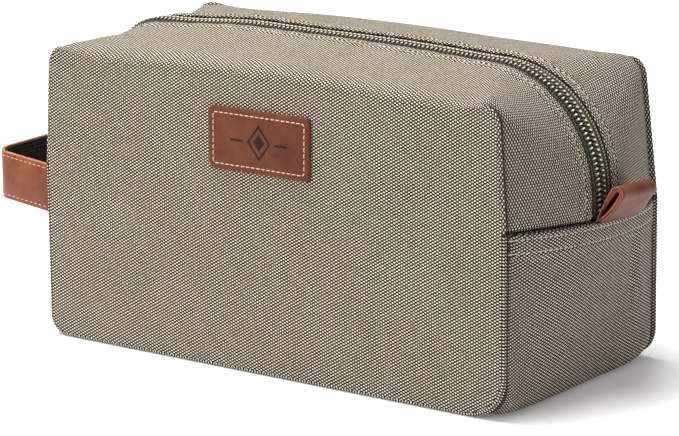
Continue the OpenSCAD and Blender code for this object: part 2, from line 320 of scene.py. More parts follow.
def shared_normals(groups):
    """Smooth normals over every group at once, so that a split between two pieces doesn't show."""
    cells = np.round(np.concatenate([g[0] for g in groups]) / 0.002).astype(np.int64)
    keys, inverse = np.unique(cells, axis=0, return_inverse=True)
    inverse = inverse.ravel()
    total = np.zeros((len(keys), 3))
    start = 0
    for v, f, _ in groups:
        q = v[f]
        n = np.cross(q[:, 2] - q[:, 0], q[:, 3] - q[:, 1])
        for c in range(4):
            np.add.at(total, inverse[f[:, c] + start], n)
        start += len(v)
    total /= np.maximum(np.linalg.norm(total, axis=1, keepdims=True), 1e-12)
    out, start = [], 0
    for v, _, _ in groups:
        out.append(total[inverse[start:start + len(v)]])
        start += len(v)
    return out


def centre(u, y, lift):
    """A point over the zip: u along the path, y across it, lift above the cloth's outside."""
    u, y = np.broadcast_arrays(np.asarray(u, float), np.asarray(y, float))
    x, z, nx, nz, s = top_path(u, y)
    p = -0.9 * waves(x, y, z, TOP_SEED) - lift
    return np.stack([x - nx * p, y, z - nz * p], -1), s


# ---- materials
class Nodes:
    """A short way to write a shader."""

    def __init__(self, name):
        self.m = bpy.data.materials.new(name)
        self.m.use_nodes = True
        self.t = self.m.node_tree
        self.shader = self.t.nodes["Principled BSDF"]

    def node(self, kind, **inputs):
        """A node; an input is given by its name, or by its number as in _0."""
        n = self.t.nodes.new(kind)
        for key, value in inputs.items():
            self.put(n.inputs[int(key[1:]) if key.startswith("_") else key], value)
        return n

    def put(self, socket, value):
        if isinstance(value, bpy.types.NodeSocket):
            self.t.links.new(value, socket)
        else:
            socket.default_value = value

    def math(self, operation, a, b=0.0):
        n = self.node("ShaderNodeMath", _0=a, _1=b)
        n.operation = operation
        return n.outputs[0]

    def mul(self, a, b):
        return self.math("MULTIPLY", a, b)

    def add(self, a, b):
        return self.math("ADD", a, b)

    def sine(self, value, factor):
        return self.math("SINE", self.mul(value, factor))

    def uv(self):
        """Place on the flat cloth, as a vector and as two numbers."""
        n = self.t.nodes.new("ShaderNodeUVMap")
        n.uv_map = "UVMap"
        parts = self.node("ShaderNodeSeparateXYZ", _0=n.outputs[0])
        return n.outputs[0], parts.outputs[0], parts.outputs[1]

    def seam(self):
        """The value that mesh_object stores at each vertex: painted shade on the canvas, painted
        highlight and shade on the coil.
        """
        n = self.t.nodes.new("ShaderNodeAttribute")
        n.attribute_name = "seam"
        return n.outputs["Fac"]

    def place(self):
        return self.t.nodes.new("ShaderNodeTexCoord").outputs["Object"]

    def noise(self, vector, scale, detail=2.0, rough=0.5):
        return self.node("ShaderNodeTexNoise", Vector=vector, Scale=scale, Detail=detail,
                         Roughness=rough).outputs[0]

    def ramp(self, factor, stops):
        n = self.t.nodes.new("ShaderNodeValToRGB")
        e = n.color_ramp.elements
        while len(e) < len(stops):
            e.new(0.5)
        for item, (pos, colour) in zip(e, stops):
            item.position, item.color = pos, (*colour, 1)
        self.put(n.inputs[0], factor)
        return n.outputs[0]

    def mottle(self, noise, low, high):
        """Two colours mixed by a noise."""
        return self.ramp(noise, ((0.3, low), (0.7, high)))

    def mix(self, kind, factor, a, b):
        n = self.t.nodes.new("ShaderNodeMix")
        n.data_type, n.blend_type = "RGBA", kind
        self.put(n.inputs[0], factor)
        for socket, value in ((n.inputs[6], a), (n.inputs[7], b)):
            self.put(socket, (*value, 1) if isinstance(value, tuple) and len(value) == 3 else value)
        return n.outputs[2]

    def bump(self, height, distance, strength=1.0, normal=None):
        n = self.node("ShaderNodeBump", Strength=strength, Distance=distance, Height=height)
        if normal is not None:
            self.put(n.inputs["Normal"], normal)
        return n.outputs[0]

    def finish(self, colour, rough, normal=None, metallic=0.0, specular=0.5):
        for key, value in (("Base Color", colour), ("Roughness", rough), ("Metallic", metallic),
                           ("Specular IOR Level", specular)):
            if isinstance(value, tuple) and len(value) == 3:
                value = (*value, 1)
            self.put(self.shader.inputs[key], value)
        if normal is not None:
            self.put(self.shader.inputs["Normal"], normal)
        return self.m


def canvas_material():
    m = Nodes("canvas")
    uv, u, v = m.uv()

    def wobble(scale):
        return m.mul(m.math("SUBTRACT", m.noise(uv, scale, 2), 0.5), 0.32)

    # crossing yarns as a product of two sines, one visible yarn in each cell
    a = m.add(m.math("DIVIDE", u, YARN_U), wobble(240))
    b = m.add(m.math("DIVIDE", v, YARN_V), wobble(170))
    s = m.mul(m.sine(a, math.pi), m.sine(b, math.pi))
    half = m.add(m.mul(s, 0.5), 0.5)
    # the weave pattern is the cloth's own, but the ramp's near-black stops are painted shade in the
    # gaps between the yarns and its top stops painted highlight on the yarn crowns
    base = m.ramp(half, ((0.0, (0.040, 0.033, 0.021)), (0.25, (0.018, 0.014, 0.008)),
                         (0.54, (0.006, 0.004, 0.002)), (0.65, (0.31, 0.27, 0.20)),
                         (0.77, (0.92, 0.81, 0.635)), (1.0, (0.99, 0.90, 0.75))))
    cell = m.node("ShaderNodeCombineXYZ", _0=m.math("FLOOR", a), _1=m.math("FLOOR", b)).outputs[0]
    speck = m.node("ShaderNodeTexWhiteNoise", Vector=cell).outputs[0]
    slub = m.noise(m.node("ShaderNodeMapping", Vector=uv, Scale=(1, 12, 1)).outputs[0], 90, 2)
    tone = m.add(0.78, m.add(m.mul(speck, 0.22), m.mul(slub, 0.22)))
    tint = m.node("ShaderNodeCombineColor", _0=tone, _1=tone, _2=tone).outputs[0]
    colour = m.mix("MULTIPLY", 1.0, base, tint)
    patch = m.mottle(m.noise(uv, 26, 3), (0.93, 0.92, 0.90), (1.0, 1.0, 1.0))
    colour = m.mix("MULTIPLY", 1.0, colour, patch)
    # painted shade: the seam value darkens the canvas toward near black in sewn-edge grooves, end
    # seams, under hem edges, along sunk stitch rows and along the resting edge
    shade = m.mul(m.seam(), 0.88)
    colour = m.mix("MIX", shade, colour, (0.016, 0.012, 0.008))
    height = m.math("POWER", m.math("ABSOLUTE", s), 0.6)
    return m.finish(colour, 0.85, m.bump(height, 0.00028), specular=0.2)


def lining_material():
    m = Nodes("lining")
    uv, u, v = m.uv()
    weave = m.mul(m.sine(u, math.pi / 0.0005), m.sine(v, math.pi / 0.0005))
    colour = m.mottle(m.noise(uv, 40, 3), (0.052, 0.042, 0.031), (0.075, 0.062, 0.046))
    return m.finish(colour, 0.6, m.bump(weave, 0.00008), specular=0.4)


def tape_material():
    m = Nodes("zip_tape")
    _, u, v = m.uv()
    rib = m.sine(v, 2 * math.pi / 0.0022)
    knit = m.sine(m.add(u, m.mul(v, 0.4)), 2 * math.pi / 0.0015)
    weave = m.add(m.mul(m.math("MINIMUM", rib, knit), 0.5), 0.5)
    colour = m.ramp(weave, ((0.05, (0.020, 0.016, 0.009)), (0.45, (0.15, 0.125, 0.070)),
                            (0.85, (0.62, 0.54, 0.37))))
    return m.finish(colour, 0.7, m.bump(weave, 0.0004), specular=0.35)


def coil_material():
    """Nylon with painted shade between the heads and a painted highlight on their tops; the head
    height comes in the seam value.
    """
    m = Nodes("zip_coil")
    # painted highlight and shade: near black low on the coil, bright on the tops of the heads
    colour = m.ramp(m.seam(), ((0.30, (0.022, 0.019, 0.012)), (0.54, (0.17, 0.150, 0.098)),
                               (0.74, (0.95, 0.88, 0.71))))
    return m.finish(colour, 0.2, m.bump(m.noise(m.place(), 2500, 1), 0.00002), specular=0.9)


def thread_material(name, colour):
    m = Nodes(name)
    p = m.place()
    c = m.mottle(m.noise(p, 1500, 2), tuple(0.75 * x for x in colour), colour)
    return m.finish(c, 0.65, m.bump(m.noise(p, 3000, 2), 0.00005), specular=0.4)


def leather_material(name, dark, mid, light, rough=0.42):
    m = Nodes(name)
    p = m.place()
    cloud = m.noise(p, 55, 4, 0.6)
    colour = m.ramp(cloud, ((0.32, dark), (0.5, mid), (0.7, light)))
    fine = m.noise(p, 700, 3, 0.6)
    pores = m.ramp(fine, ((0.3, (0.6, 0.55, 0.5)), (0.65, (1, 1, 1))))
    colour = m.mix("MULTIPLY", 0.35, colour, pores)
    v = m.node("ShaderNodeTexVoronoi", Vector=p, Scale=900)
    v.feature = "DISTANCE_TO_EDGE"
    grain = m.math("MINIMUM", m.mul(v.outputs[0], 4.0), 1.0)
    normal = m.bump(grain, 0.00006, 0.7, m.bump(fine, 0.00012, 0.6))
    roughness = m.add(rough - 0.08, m.mul(fine, 0.2))
    return m.finish(colour, roughness, normal, specular=0.18)


def edge_material():
    m = Nodes("leather_edge")
    p = m.place()
    colour = m.mottle(m.noise(p, 500, 3), (0.30, 0.095, 0.05), (0.50, 0.21, 0.13))
    return m.finish(colour, 0.55, m.bump(m.noise(p, 1800, 2), 0.00006), specular=0.2)


def webbing_material():
    m = Nodes("backing")
    p = m.place()
    rib = m.sine(m.node("ShaderNodeSeparateXYZ", _0=p).outputs[2], math.pi / 0.0009)
    colour = m.mottle(m.noise(p, 800, 2), (0.006, 0.006, 0.005), (0.018, 0.016, 0.015))
    return m.finish(colour, 0.9, m.bump(rib, 0.0002), specular=0.15)


def metal_material():
    m = Nodes("metal")
    p = m.place()
    colour = m.mottle(m.noise(p, 260, 3), (0.36, 0.31, 0.21), (0.52, 0.46, 0.34))
    rough = m.add(0.24, m.mul(m.noise(p, 700, 3), 0.22))
    return m.finish(colour, rough, m.bump(m.noise(p, 1600, 2), 0.00002), metallic=1.0)


def plain_material(name, low, high, scale, rough, bump):
    m = Nodes(name)
    p = m.place()
    n = m.noise(p, scale, 3)
    return m.finish(m.mottle(n, low, high), rough, m.bump(n, bump), specular=0.3)


CANVAS, LINING, TAPE, COIL = canvas_material(), lining_material(), tape_material(), coil_material()
LEATHER = leather_material("leather", (0.125, 0.028, 0.008), (0.195, 0.047, 0.014),
                           (0.275, 0.076, 0.026))
TAB_LEATHER = leather_material("tab_leather", (0.090, 0.020, 0.007), (0.142, 0.034, 0.012),
                               (0.205, 0.057, 0.021))
PATCH = leather_material("patch_leather", (0.085, 0.020, 0.007), (0.122, 0.031, 0.011),
                         (0.170, 0.047, 0.018))
MARK = leather_material("mark", (0.010, 0.005, 0.004), (0.014, 0.007, 0.005),
                        (0.02, 0.01, 0.007), 0.6)
EDGE, WEBBING, METAL = edge_material(), webbing_material(), metal_material()
CREAM = thread_material("cream_thread", (0.78, 0.50, 0.33))
TAN_THREAD = thread_material("tan_thread", (0.62, 0.33, 0.19))
KHAKI_THREAD = thread_material("khaki_thread", (0.80, 0.73, 0.60))
OLIVE_THREAD = thread_material("olive_thread", (0.14, 0.13, 0.075))

# ---- canvas
FLAP_STEP = 1.6
HALF = list(np.arange(0, FLAP_X + 0.1, FLAP_STEP)) + list(np.arange(88.0, 171, 1.5)) \
    + [172, 173.5, 175, 176.3, 177.4, 178.3, 179, 179.6, 180.1, 180.5, 180.9, 181.2, TOTAL]
HALF = np.array(HALF) / TOTAL
U = np.concatenate([-HALF[:0:-1], HALF])        # columns of the upper cloth
# rows: close together over the sewn edge and over the hem
EDGE_D = [0, .3, .65, 1.0, 1.35, 1.65, 1.85, 2.0, 2.15, 2.3, 2.45, 2.65, 2.95, 3.4, 4.0, 4.8,
          5.8, 6.8, 7.8, 8.9, 10.0]
D = np.array(EDGE_D + list(np.arange(11.6, 45.5, 1.6))
             + [46.3, 46.9, 47.5, 48.4, 49.4, 50.0, 50.3, 50.6, 50.9, 51.2, 51.8, 52.8, 53.6, 54.2])
# the hem turned under: distance from the face, height over the outside
HEM = np.array([(54.7, -.1), (54.92, -.3), (55.0, -.6), (54.92, -.9), (54.7, -1.1), (53.8, -1.2),
                (51, -1.25), (47, -1.3)])
ROW10 = len(EDGE_D) - 1         # the flaps begin at this row, 10 mm from the face
MID = len(HALF) - 1             # the middle column
FLAP_N = int(round(FLAP_X / FLAP_STEP))
LO, HI = MID - FLAP_N, MID + FLAP_N     # the end columns of the flaps
SIDES = ((-1, "front"), (1, "back"))


def run_length(d, depth):
    """Distance along a line of points."""
    return np.concatenate([[0], np.cumsum(np.hypot(np.diff(d), np.diff(depth)))])


def seam_painted_shade(d):
    """Painted shade along a sewn edge: how much of the light it loses, d from the face."""
    return np.exp(-(np.maximum(2.3 - d, 0) / 0.45) ** 2 - (np.maximum(d - 3.8, 0) / 1.0) ** 2)


def cloth_rows():
    """The rows with their lift, and the length of cloth up to each over both kinds of edge."""
    d = np.concatenate([D, HEM[:, 0]])
    lift = np.concatenate([np.zeros(len(D)), HEM[:, 1]])
    return d, lift, run_length(d, top_profile(d) - lift), run_length(d, side_profile(d) - lift)


def upper_patch(side):
    """One side's upper cloth, from the face to under its hem."""
    d, lift, over_top, over_side = cloth_rows()
    p, s = upper(U[None, :], d[:, None], side, lift[:, None])
    e = at_end(s)
    to_seam = (1 - np.abs(U[None, :])) * SEAM_RUN
    # painted shade: in the groove of the sewn edge (weaker at the back), in the end seam, under the
    # front hem's edge and in the sunk stitch row beside the zip
    dark = (0.75 if side > 0 else 1) * e * seam_painted_shade(d)[:, None] + bell(to_seam, 0, 0.9)
    if side < 0:
        dark = dark + 0.3 * smooth((d[:, None] - 54.3) / 0.5)
    dark = dark + 0.35 * bell(d[:, None], STITCH_D, 0.4)
    # the weave goes on from the face over the top, and from the corners down the ends
    start = np.interp(np.clip(s[0], -117, 117), s[0], p[0, :, 2])
    across = start + over_top[:, None] * (1 - e) + over_side[:, None] * e
    return Patch(p, np.stack([s, across, np.clip(dark, 0, 1)], -1))


LOW_HALF = list(np.arange(0, 112, 2.0)) + list(np.arange(112, 140, 1.4)) \
    + list(np.arange(140.5, 192, 1.6)) + [193, 194, 194.8, 195.5, 196, 196.5, 197.5, 199, 200,
                                          200.8, 201.4, 202, 202.6, 203.4, 204, 204.4, 204.7, 205]
LOW_HALF = np.array(LOW_HALF) / LOW_RUN
W = np.concatenate([-LOW_HALF[:0:-1], LOW_HALF])        # columns of the lower strip
LOW_D = np.array(EDGE_D + list(np.arange(11.6, FY, 1.8)))
LOW_D = np.concatenate([LOW_D, [FY], (2 * FY - LOW_D)[::-1]])
RIM = 8                         # rows of the rolled edge that belong to the face


def lower_patch():
    """The strip under and round the ends, rows across it."""
    p, s = lower(W[:, None], LOW_D[None, :])
    p = p.transpose(1, 0, 2)
    s = s.T
    edge = np.minimum(LOW_D, 2 * FY - LOW_D)
    across = run_length(LOW_D, side_profile(edge))
    to_seam = (1 - np.abs(W[None, :])) * LOW_RUN
    # painted shade: in the grooves of the sewn edges (weaker at the back), in the end seams and in
    # the sunk stitch rows of the hems
    dark = (seam_painted_shade(edge) * np.where(LOW_D > FY, 0.4, 1))[:, None] + bell(to_seam, 0, 1.0)
    for row in HEM_ROWS:
        dark = dark + 0.35 * bell(to_seam, row, 0.5)
    across = np.broadcast_to(across[:, None], s.shape)
    return Patch(p, np.stack([across, s, np.clip(dark, 0, 1)], -1))


RINGS = np.array([1, .9975, .994, .989, .982, .972, .96, .945] + list(np.linspace(.925, 0, 46)))


def face_patch(up, low, side):
    """The face inside its rolled edge: rings that shrink toward the middle."""
    low_row = low.p[0] if side < 0 else low.p[-1]
    border = np.concatenate([up.p[0], low_row[::-1][1:]])
    flat = np.concatenate([border[:, [0, 2]], np.zeros((len(border), 1))], 1)
    mid, flat_mid = np.array([0, side * FY, FACE_Z]), np.array([0, FACE_Z, 0])
    r = RINGS[:, None, None]
    p = mid + (border[None] - mid) * r
    f = flat_mid + (flat[None] - flat_mid) * r
    f[:4, :, 2] = 0.75 * (border[:, 2] < 1.5)       # shadow along the resting edge
    fade = 1 - RINGS[:, None] ** 7
    seed = FRONT_SEED if side < 0 else BACK_SEED
    puff = 0.9 + 1.1 * waves(p[..., 0], p[..., 1], p[..., 2], seed)
    p[..., 1] += side * fade * puff
    return Patch(p, f, True)


def ridden(obj, nodes=()):
    """A piece that belongs to the bag's body."""
    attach(obj, "bag")
    if nodes:
        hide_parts(*nodes)


def bent(obj):
    """Half of a flap: its transform is baked into its mesh."""
    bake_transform(obj)


def fasten(obj, left, fixed=(), moving=None):
    """A piece on the bag, replacing the nodes fixed, where left is None.

    Otherwise a piece of a flap half, left on its own with its transform baked, replacing the node
    moving."""
    if left is None:
        ridden(obj, fixed)
    else:
        bent(obj)
        if moving:
            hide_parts(moving)


def halves(low, mid, high):
    """The two halves of a flap: is it the left one, its name, its columns."""
    return (True, "left", slice(low, mid + 1)), (False, "right", slice(mid, high + 1))


uppers = {side: upper_patch(side) for side, _ in SIDES}
low = lower_patch()
faces = {side: face_patch(uppers[side], low, side) for side, _ in SIDES}

groups, jobs = [], []
for side, word in SIDES:
    up, back = uppers[side], side > 0
    rim = slice(0, RIM + 1) if side < 0 else slice(len(LOW_D) - RIM - 1, None)
    groups.append(gather([(faces[side], back), (up.cut(slice(0, ROW10 + 1)), back),
                          (up.cut(slice(ROW10, None), slice(0, LO + 1)), back),
                          (up.cut(slice(ROW10, None), slice(HI, None)), back),
                          (low.cut(rim), True)]))
    jobs.append((word + "_canvas", None, word))
    for left, half, cols in halves(LO, MID, HI):
        groups.append(gather([(up.cut(slice(ROW10, None), cols), back)]))
        jobs.append((f"{word}_flap_canvas_{half}", left, word))
groups.append(gather([(low.cut(slice(RIM, len(LOW_D) - RIM)), True)]))
jobs.append(("lower_canvas", None, "gusset"))
for (name, left, word), (v, f, uv), n in zip(jobs, groups, shared_normals(groups)):
    obj = mesh_object(name, v, f, CANVAS, uv, n)
    fasten(obj, left, [word + "_panel"], word + "_flap_canvas")

# ---- lining
LINING_IN = 4.6                 # inside the canvas's outside
LIN_D = np.array([LINING_IN, 6, 8, 10, 13, 17, 21, 25, 29, 33, 37, 41, 45, 48, 51])
LIN_LOW_D = np.concatenate([LIN_D[:4], np.arange(14, 113, 6.0), (2 * FY - LIN_D[:4])[::-1]])
LIN_ROW10 = 3                   # the flaps' lining begins at this row
LIN_U = U[::2]
LIN_MID, LIN_FLAP = len(LIN_U) // 2, FLAP_N // 2
LIN_LO, LIN_HI = LIN_MID - LIN_FLAP, LIN_MID + LIN_FLAP
groups, jobs = [], []
p, s = lower(W[None, ::2], LIN_LOW_D[:, None], -LINING_IN)
lin_low = Patch(p, np.stack([np.broadcast_to(LIN_LOW_D[:, None], s.shape), s], -1))
for side, word in SIDES:
    back = side > 0
    p, s = upper(LIN_U[None, :], LIN_D[:, None], side, -LINING_IN)
    up = Patch(p, np.stack([s, np.broadcast_to(LIN_D[:, None], s.shape)], -1))
    border = np.concatenate([up.p[0], lin_low.p[-1 if back else 0][::-1]])
    mid = np.array([0, side * (FY - LINING_IN), FACE_Z])
    p = mid + (border[None] - mid) * np.linspace(1, 0, 12)[:, None, None]
    face = Patch(p, p[..., [0, 2]], True)
    below = slice(LIN_ROW10, None)
    groups.append(gather([(face, back), (up.cut(slice(0, LIN_ROW10 + 1)), back),
                          (up.cut(below, slice(0, LIN_LO + 1)), back),
                          (up.cut(below, slice(LIN_HI, None)), back)]))
    jobs.append((word + "_lining", None, word, "lining_" + word))
    for left, half, cols in halves(LIN_LO, LIN_MID, LIN_HI):
        groups.append(gather([(up.cut(below, cols), back)]))
        jobs.append((f"{word}_flap_lining_{half}", left, word, word + "_flap_lining"))
groups.append(gather([(lin_low, True)]))
jobs.append(("lower_lining", None, "gusset", "lining_gusset"))
for (name, left, word, node), (v, f, uv), n in zip(jobs, groups, shared_normals(groups)):
    fasten(mesh_object(name, v, f, LINING, uv, n), left, [node], node)

# ---- zip
TAPE_DEPTH = 1.35               # tape top below the cloth's outside, beside the coil
TAPE_EDGES = (0.55, 13.0)       # from the middle
COIL_MID = -0.40                # middle of the coil's height
PITCH, TURN = 2.35, 14          # length of a turn of the coil, points in it
THREAD_ROWS = (3.0, 4.3)        # threads that sew the coil down, from the middle


def tape_patch(us, side):
    """The tape of one side; away from the coil it follows the underside of the hem."""
    t = np.linspace(*TAPE_EDGES, 14)
    start = 3.4 + 2.9 * smooth((-us * TOTAL - 50) / 20)         # flat where the slider runs
    follow = (0.2 if side > 0 else -0.55) - hem_drop(us * TOTAL, side)
    lift = -TAPE_DEPTH + follow * smooth((t[:, None] - start) / (7.8 - start))
    ys = side * t
    p, s = centre(us[None, :], ys[:, None], lift)
    return Patch(p, np.stack([s, np.broadcast_to(ys[:, None], s.shape)], -1))


def tube(points, normals, radius, sides=6):
    """A closed tube along points; normals lie across it."""
    t = np.gradient(points, axis=0)
    t /= np.linalg.norm(t, axis=1, keepdims=True)
    n = normals - (normals * t).sum(1, keepdims=True) * t
    n /= np.linalg.norm(n, axis=1, keepdims=True)
    b = np.cross(t, n)
    a = np.linspace(0, 2 * math.pi, sides, endpoint=False)[None, :, None]
    ring = np.cos(a) * n[:, None, :] + np.sin(a) * b[:, None, :]
    v = (points[:, None, :] + ring * np.asarray(radius).reshape(-1, 1, 1)).reshape(-1, 3)
    m = len(points)
    i = np.arange(m - 1)[:, None] * sides
    j = np.arange(sides)[None, :]
    k = (j + 1) % sides
    f = np.stack([i + j, i + k, i + sides + k, i + sides + j], -1).reshape(-1, 4).tolist()
    f.append(list(range(sides))[::-1])
    f.append(list(range((m - 1) * sides, m * sides)))
    return v, f


def many(parts):
    """Joins (vertices, faces) pairs into one."""
    v, f, n = [], [], 0
    for pv, pf in parts:
        v.append(pv)
        f += [[i + n for i in q] for q in pf]
        n += len(pv)
    return np.concatenate(v), f


def outward(us, ys):
    """Direction away from the bag at points over the zip."""
    p0, _ = centre(us, ys, 0.0)
    p1, _ = centre(us, ys, 1.0)
    return p1 - p0


def spans(end):
    """The stretches along the zip up to end: name, from, to, and which half of a flap."""
    return (("handle_end", -end, -FLAP_X, None), ("left", -FLAP_X, 0, True),
            ("right", 0, FLAP_X, False), ("tab_end", FLAP_X, end, None))


def coil(s0, s1, side, phase):
    """A wire wound along one side of the zip, with the height of its heads as seam value for a
    painted highlight.
    """
    s = np.linspace(s0, s1, int(round((s1 - s0) / PITCH * TURN)) + 1)
    turn = s / PITCH * 2 * math.pi + phase
    y = side * (2.15 - 1.65 * np.cos(turn))
    h = COIL_MID + 0.5 * np.sin(turn)
    p, _ = centre(s / TOTAL, y, h)
    out = outward(s / TOTAL, y)
    across = np.cross(np.roll(p, -1, 0) - np.roll(p, 1, 0), out)
    v, f = tube(p, out * 0.3 + across / 50, 0.46)
    # painted highlight: the higher a point on a head, the brighter the coil is painted, within the
    # band where the heads show
    over = ((v.reshape(-1, 6, 3) - p[:, None]) * out[:, None]).sum(-1)
    heads = bell(np.abs(y), 2.3, 1.3)[:, None]
    flat = np.zeros((len(v), 3))
    flat[:, 2] = ((over + (h - COIL_MID)[:, None] + 0.95) / 1.9 * heads).ravel()
    return v, f, flat


def coil_threads(s0, s1, side, phase):
    """The two threads that sew a coil down."""
    s = np.linspace(s0, s1, int((s1 - s0) / PITCH * 6) + 1)
    hop = 0.3 * np.cos(s / PITCH * 2 * math.pi + phase + 1.2)
    threads = []
    for y in THREAD_ROWS:
        p, _ = centre(s / TOTAL, side * y, (0.25 - TAPE_DEPTH) + hop)
        threads.append(tube(p, outward(s / TOTAL, side * y), 0.2, 5))
    return many(threads)


for side, word in SIDES:
    phase = 0 if side < 0 else math.pi      # the two coils mesh
    for part, s0, s1, left in spans(TOTAL - 1):
        v, f, flat = coil(s0, s1, side, phase)
        fasten(mesh_object(f"{word}_coil_{part}", v, f, COIL, flat), left,
               ["zip_coil_" + word], word + "_flap_coil")
        us = np.linspace(s0, s1, max(8, int((s1 - s0) / 1.6))) / TOTAL
        v, f, flat = gather([(tape_patch(us, side), side > 0)])
        fasten(mesh_object(f"{word}_tape_{part}", v, f, TAPE, flat), left,
               ["zip_tape_" + word], word + "_flap_tape")
        v, f = coil_threads(s0, s1, side, phase)
        fasten(mesh_object(f"{word}_coil_thread_{part}", v, f, OLIVE_THREAD), left)


# ---- stitches
# one stitch: place along it, height, thickness
STITCH_SHAPE = np.array([(-0.5, -1.0, 0.35), (-0.44, -0.35, 0.8), (-0.25, 0.25, 1.0),
                         (0, 0.45, 1.0), (0.25, 0.25, 1.0), (0.44, -0.35, 0.8),
                         (0.5, -1.0, 0.35)])


def stitches(points, normals, length, gap, radius, sink=0.1):
    """Short threads laid end to end along a line of points."""
    run = np.concatenate([[0], np.cumsum(np.linalg.norm(np.diff(points, axis=0), axis=1))])
    count = max(1, int(run[-1] // (length + gap)))
    step = run[-1] / count
    place, height, thick = STITCH_SHAPE.T
    parts = []
    for i in range(count):
        at = (i + 0.5) * step + place * (step - gap)
        p = np.stack([np.interp(at, run, points[:, k]) for k in range(3)], 1)
        n = np.stack([np.interp(at, run, normals[:, k]) for k in range(3)], 1)
        n /= np.linalg.norm(n, axis=1, keepdims=True)
        p = p + n * (height[:, None] * radius - sink)
        parts.append(tube(p, n, radius * thick))
    return many(parts)


for side, word in SIDES:
    for part, s0, s1, left in spans(176):
        u = np.linspace(s0, s1, int((s1 - s0) * 1.2)) / TOTAL
        p0, p1 = (upper(u, STITCH_D, side, lift)[0] for lift in (0, 1))
        v, f = stitches(p0, p1 - p0, *KHAKI_STITCH)
        fasten(mesh_object(f"{word}_topstitch_{part}", v, f, KHAKI_THREAD), left)

rows = []
d = np.linspace(3.4, 2 * FY - 3.4, 150)
for end in (-1, 1):
    for below in HEM_ROWS:
        p0, p1 = (lower(end * (1 - below / LOW_RUN), d, lift)[0] for lift in (0, 1))
        rows.append(stitches(p0, p1 - p0, *KHAKI_STITCH))
ridden(mesh_object("end_hem_stitches", *many(rows), KHAKI_THREAD))

# ---- handle
STRAP_Z, STRAP_W = 59.5, 23.5   # height of its lower edge, width
LEAN_DEG = 16                   # the strap's arms lean out by this
LEAN_A = math.radians(LEAN_DEG)
START = np.array([-128.0, -62.2])       # front end, in plan
BEND_R, OUT_X = 15.5, -175.5    # bend of the corners, outermost x


def strap_plan(o):
    """Plan of the strap, front end to back end, at a depth o below its leather face."""
    lean = np.array([math.sin(LEAN_A), math.cos(LEAN_A)])
    bend_x = OUT_X + BEND_R
    bend_y = START[1] + (BEND_R - (bend_x - START[0]) * lean[0]) / lean[1]
    ang = np.radians(np.linspace(270 - LEAN_DEG, 180, 14))
    arc = np.stack([bend_x + (BEND_R - o) * np.cos(ang), bend_y + (BEND_R - o) * np.sin(ang)], 1)
    a = START + o * lean
    arm = a + (arc[0] - a) * np.linspace(0, 1, 22)[:-1, None]
    mid = np.stack([np.full(15, OUT_X + o), np.linspace(arc[-1, 1], 0, 16)[1:]], 1)
    half = np.concatenate([arm, arc, mid])
    return np.concatenate([half, (half * (1, -1))[-2::-1]])


def plan_normals(plan):
    """Directions out of the loop of the strap."""
    t = np.gradient(plan, axis=0)
    t /= np.linalg.norm(t, axis=1, keepdims=True)
    return np.stack([-t[:, 1], t[:, 0]], 1)


def fix_outside(obj):
    """Turns every face of a closed piece outward."""
    bm = bmesh.new()
    bm.from_mesh(obj.data)
    bmesh.ops.recalc_face_normals(bm, faces=bm.faces)
    bm.to_mesh(obj.data)
    bm.free()


def two_tone(name, v, f, mats, face_mat, edge_mat):
    """A closed piece whose faces have the material 0 or 1."""
    obj = mesh_object(name, v, f, face_mat)
    obj.data.materials.append(edge_mat)
    obj.data.polygons.foreach_set("material_index", mats)
    fix_outside(obj)
    return obj


def rings_to_quads(count, k):
    """Quads between count rings of k points."""
    return [(i * k + j, i * k + (j + 1) % k, (i + 1) * k + (j + 1) % k, (i + 1) * k + j)
            for i in range(count - 1) for j in range(k)]


def strap_layer(name, o0, o1, inset, face_mat, edge_mat, round_by=0.45):
    """A band following the strap plan between two depths."""
    base = strap_plan(o0)
    n = plan_normals(base)
    t = o1 - o0
    w = STRAP_W / 2 - inset
    r = min(round_by, t * 0.45)
    top = [(0.0, w - r), (-r * 0.3, w - r * 0.3), (-r, w), (-(t - r), w),
           (-(t - r * 0.3), w - r * 0.3), (-t, w - r)]
    section = top + [(depth, -h) for depth, h in top[::-1]]
    run = np.linspace(0, 1, len(base))
    droop = -0.8 * np.sin(run * math.pi) ** 2
    wave = 0.25 * np.sin(run * 17) * np.sin(run * math.pi)
    v, k = [], len(section)
    for i, (p, m) in enumerate(zip(base, n)):
        for depth, h in section:
            q = p + m * (depth + wave[i])
            v.append((q[0], q[1], STRAP_Z + STRAP_W / 2 + h + droop[i]))
    f = rings_to_quads(len(base), k)
    mats = [0 if j in (5, 11) else 1 for j in range(k)] * (len(base) - 1) + [1, 1]
    f += [tuple(range(k))[::-1], tuple(range((len(base) - 1) * k, len(base) * k))]
    return two_tone(name, v, f, mats, face_mat, edge_mat), base, n, droop, wave


strap, plan, plan_n, droop, wave = strap_layer("strap", 0.0, 1.6, 0.0, LEATHER, EDGE)
ridden(strap, ["handle_strap"])
backing, *_ = strap_layer("strap_backing", 1.65, 3.0, 0.7, WEBBING, WEBBING, 0.3)
ridden(backing, ["handle_backing"])
lines = []
for h in (2.2, STRAP_W - 2.2):
    p = np.concatenate([plan + plan_n * wave[:, None], (STRAP_Z + h + droop)[:, None]], 1)
    n = np.concatenate([plan_n, np.zeros((len(plan), 1))], 1)
    lines.append(stitches(p[2:-2], n[2:-2], *TAN_STITCH))
ridden(mesh_object("strap_stitches", *many(lines), TAN_THREAD))

# ---- end tab
TAB_SHIFT, TAB_W = 10.0, 32.0   # its middle lies this far back, width
FOLD = np.array([151.4, 94.8])  # middle of the fold, x and z


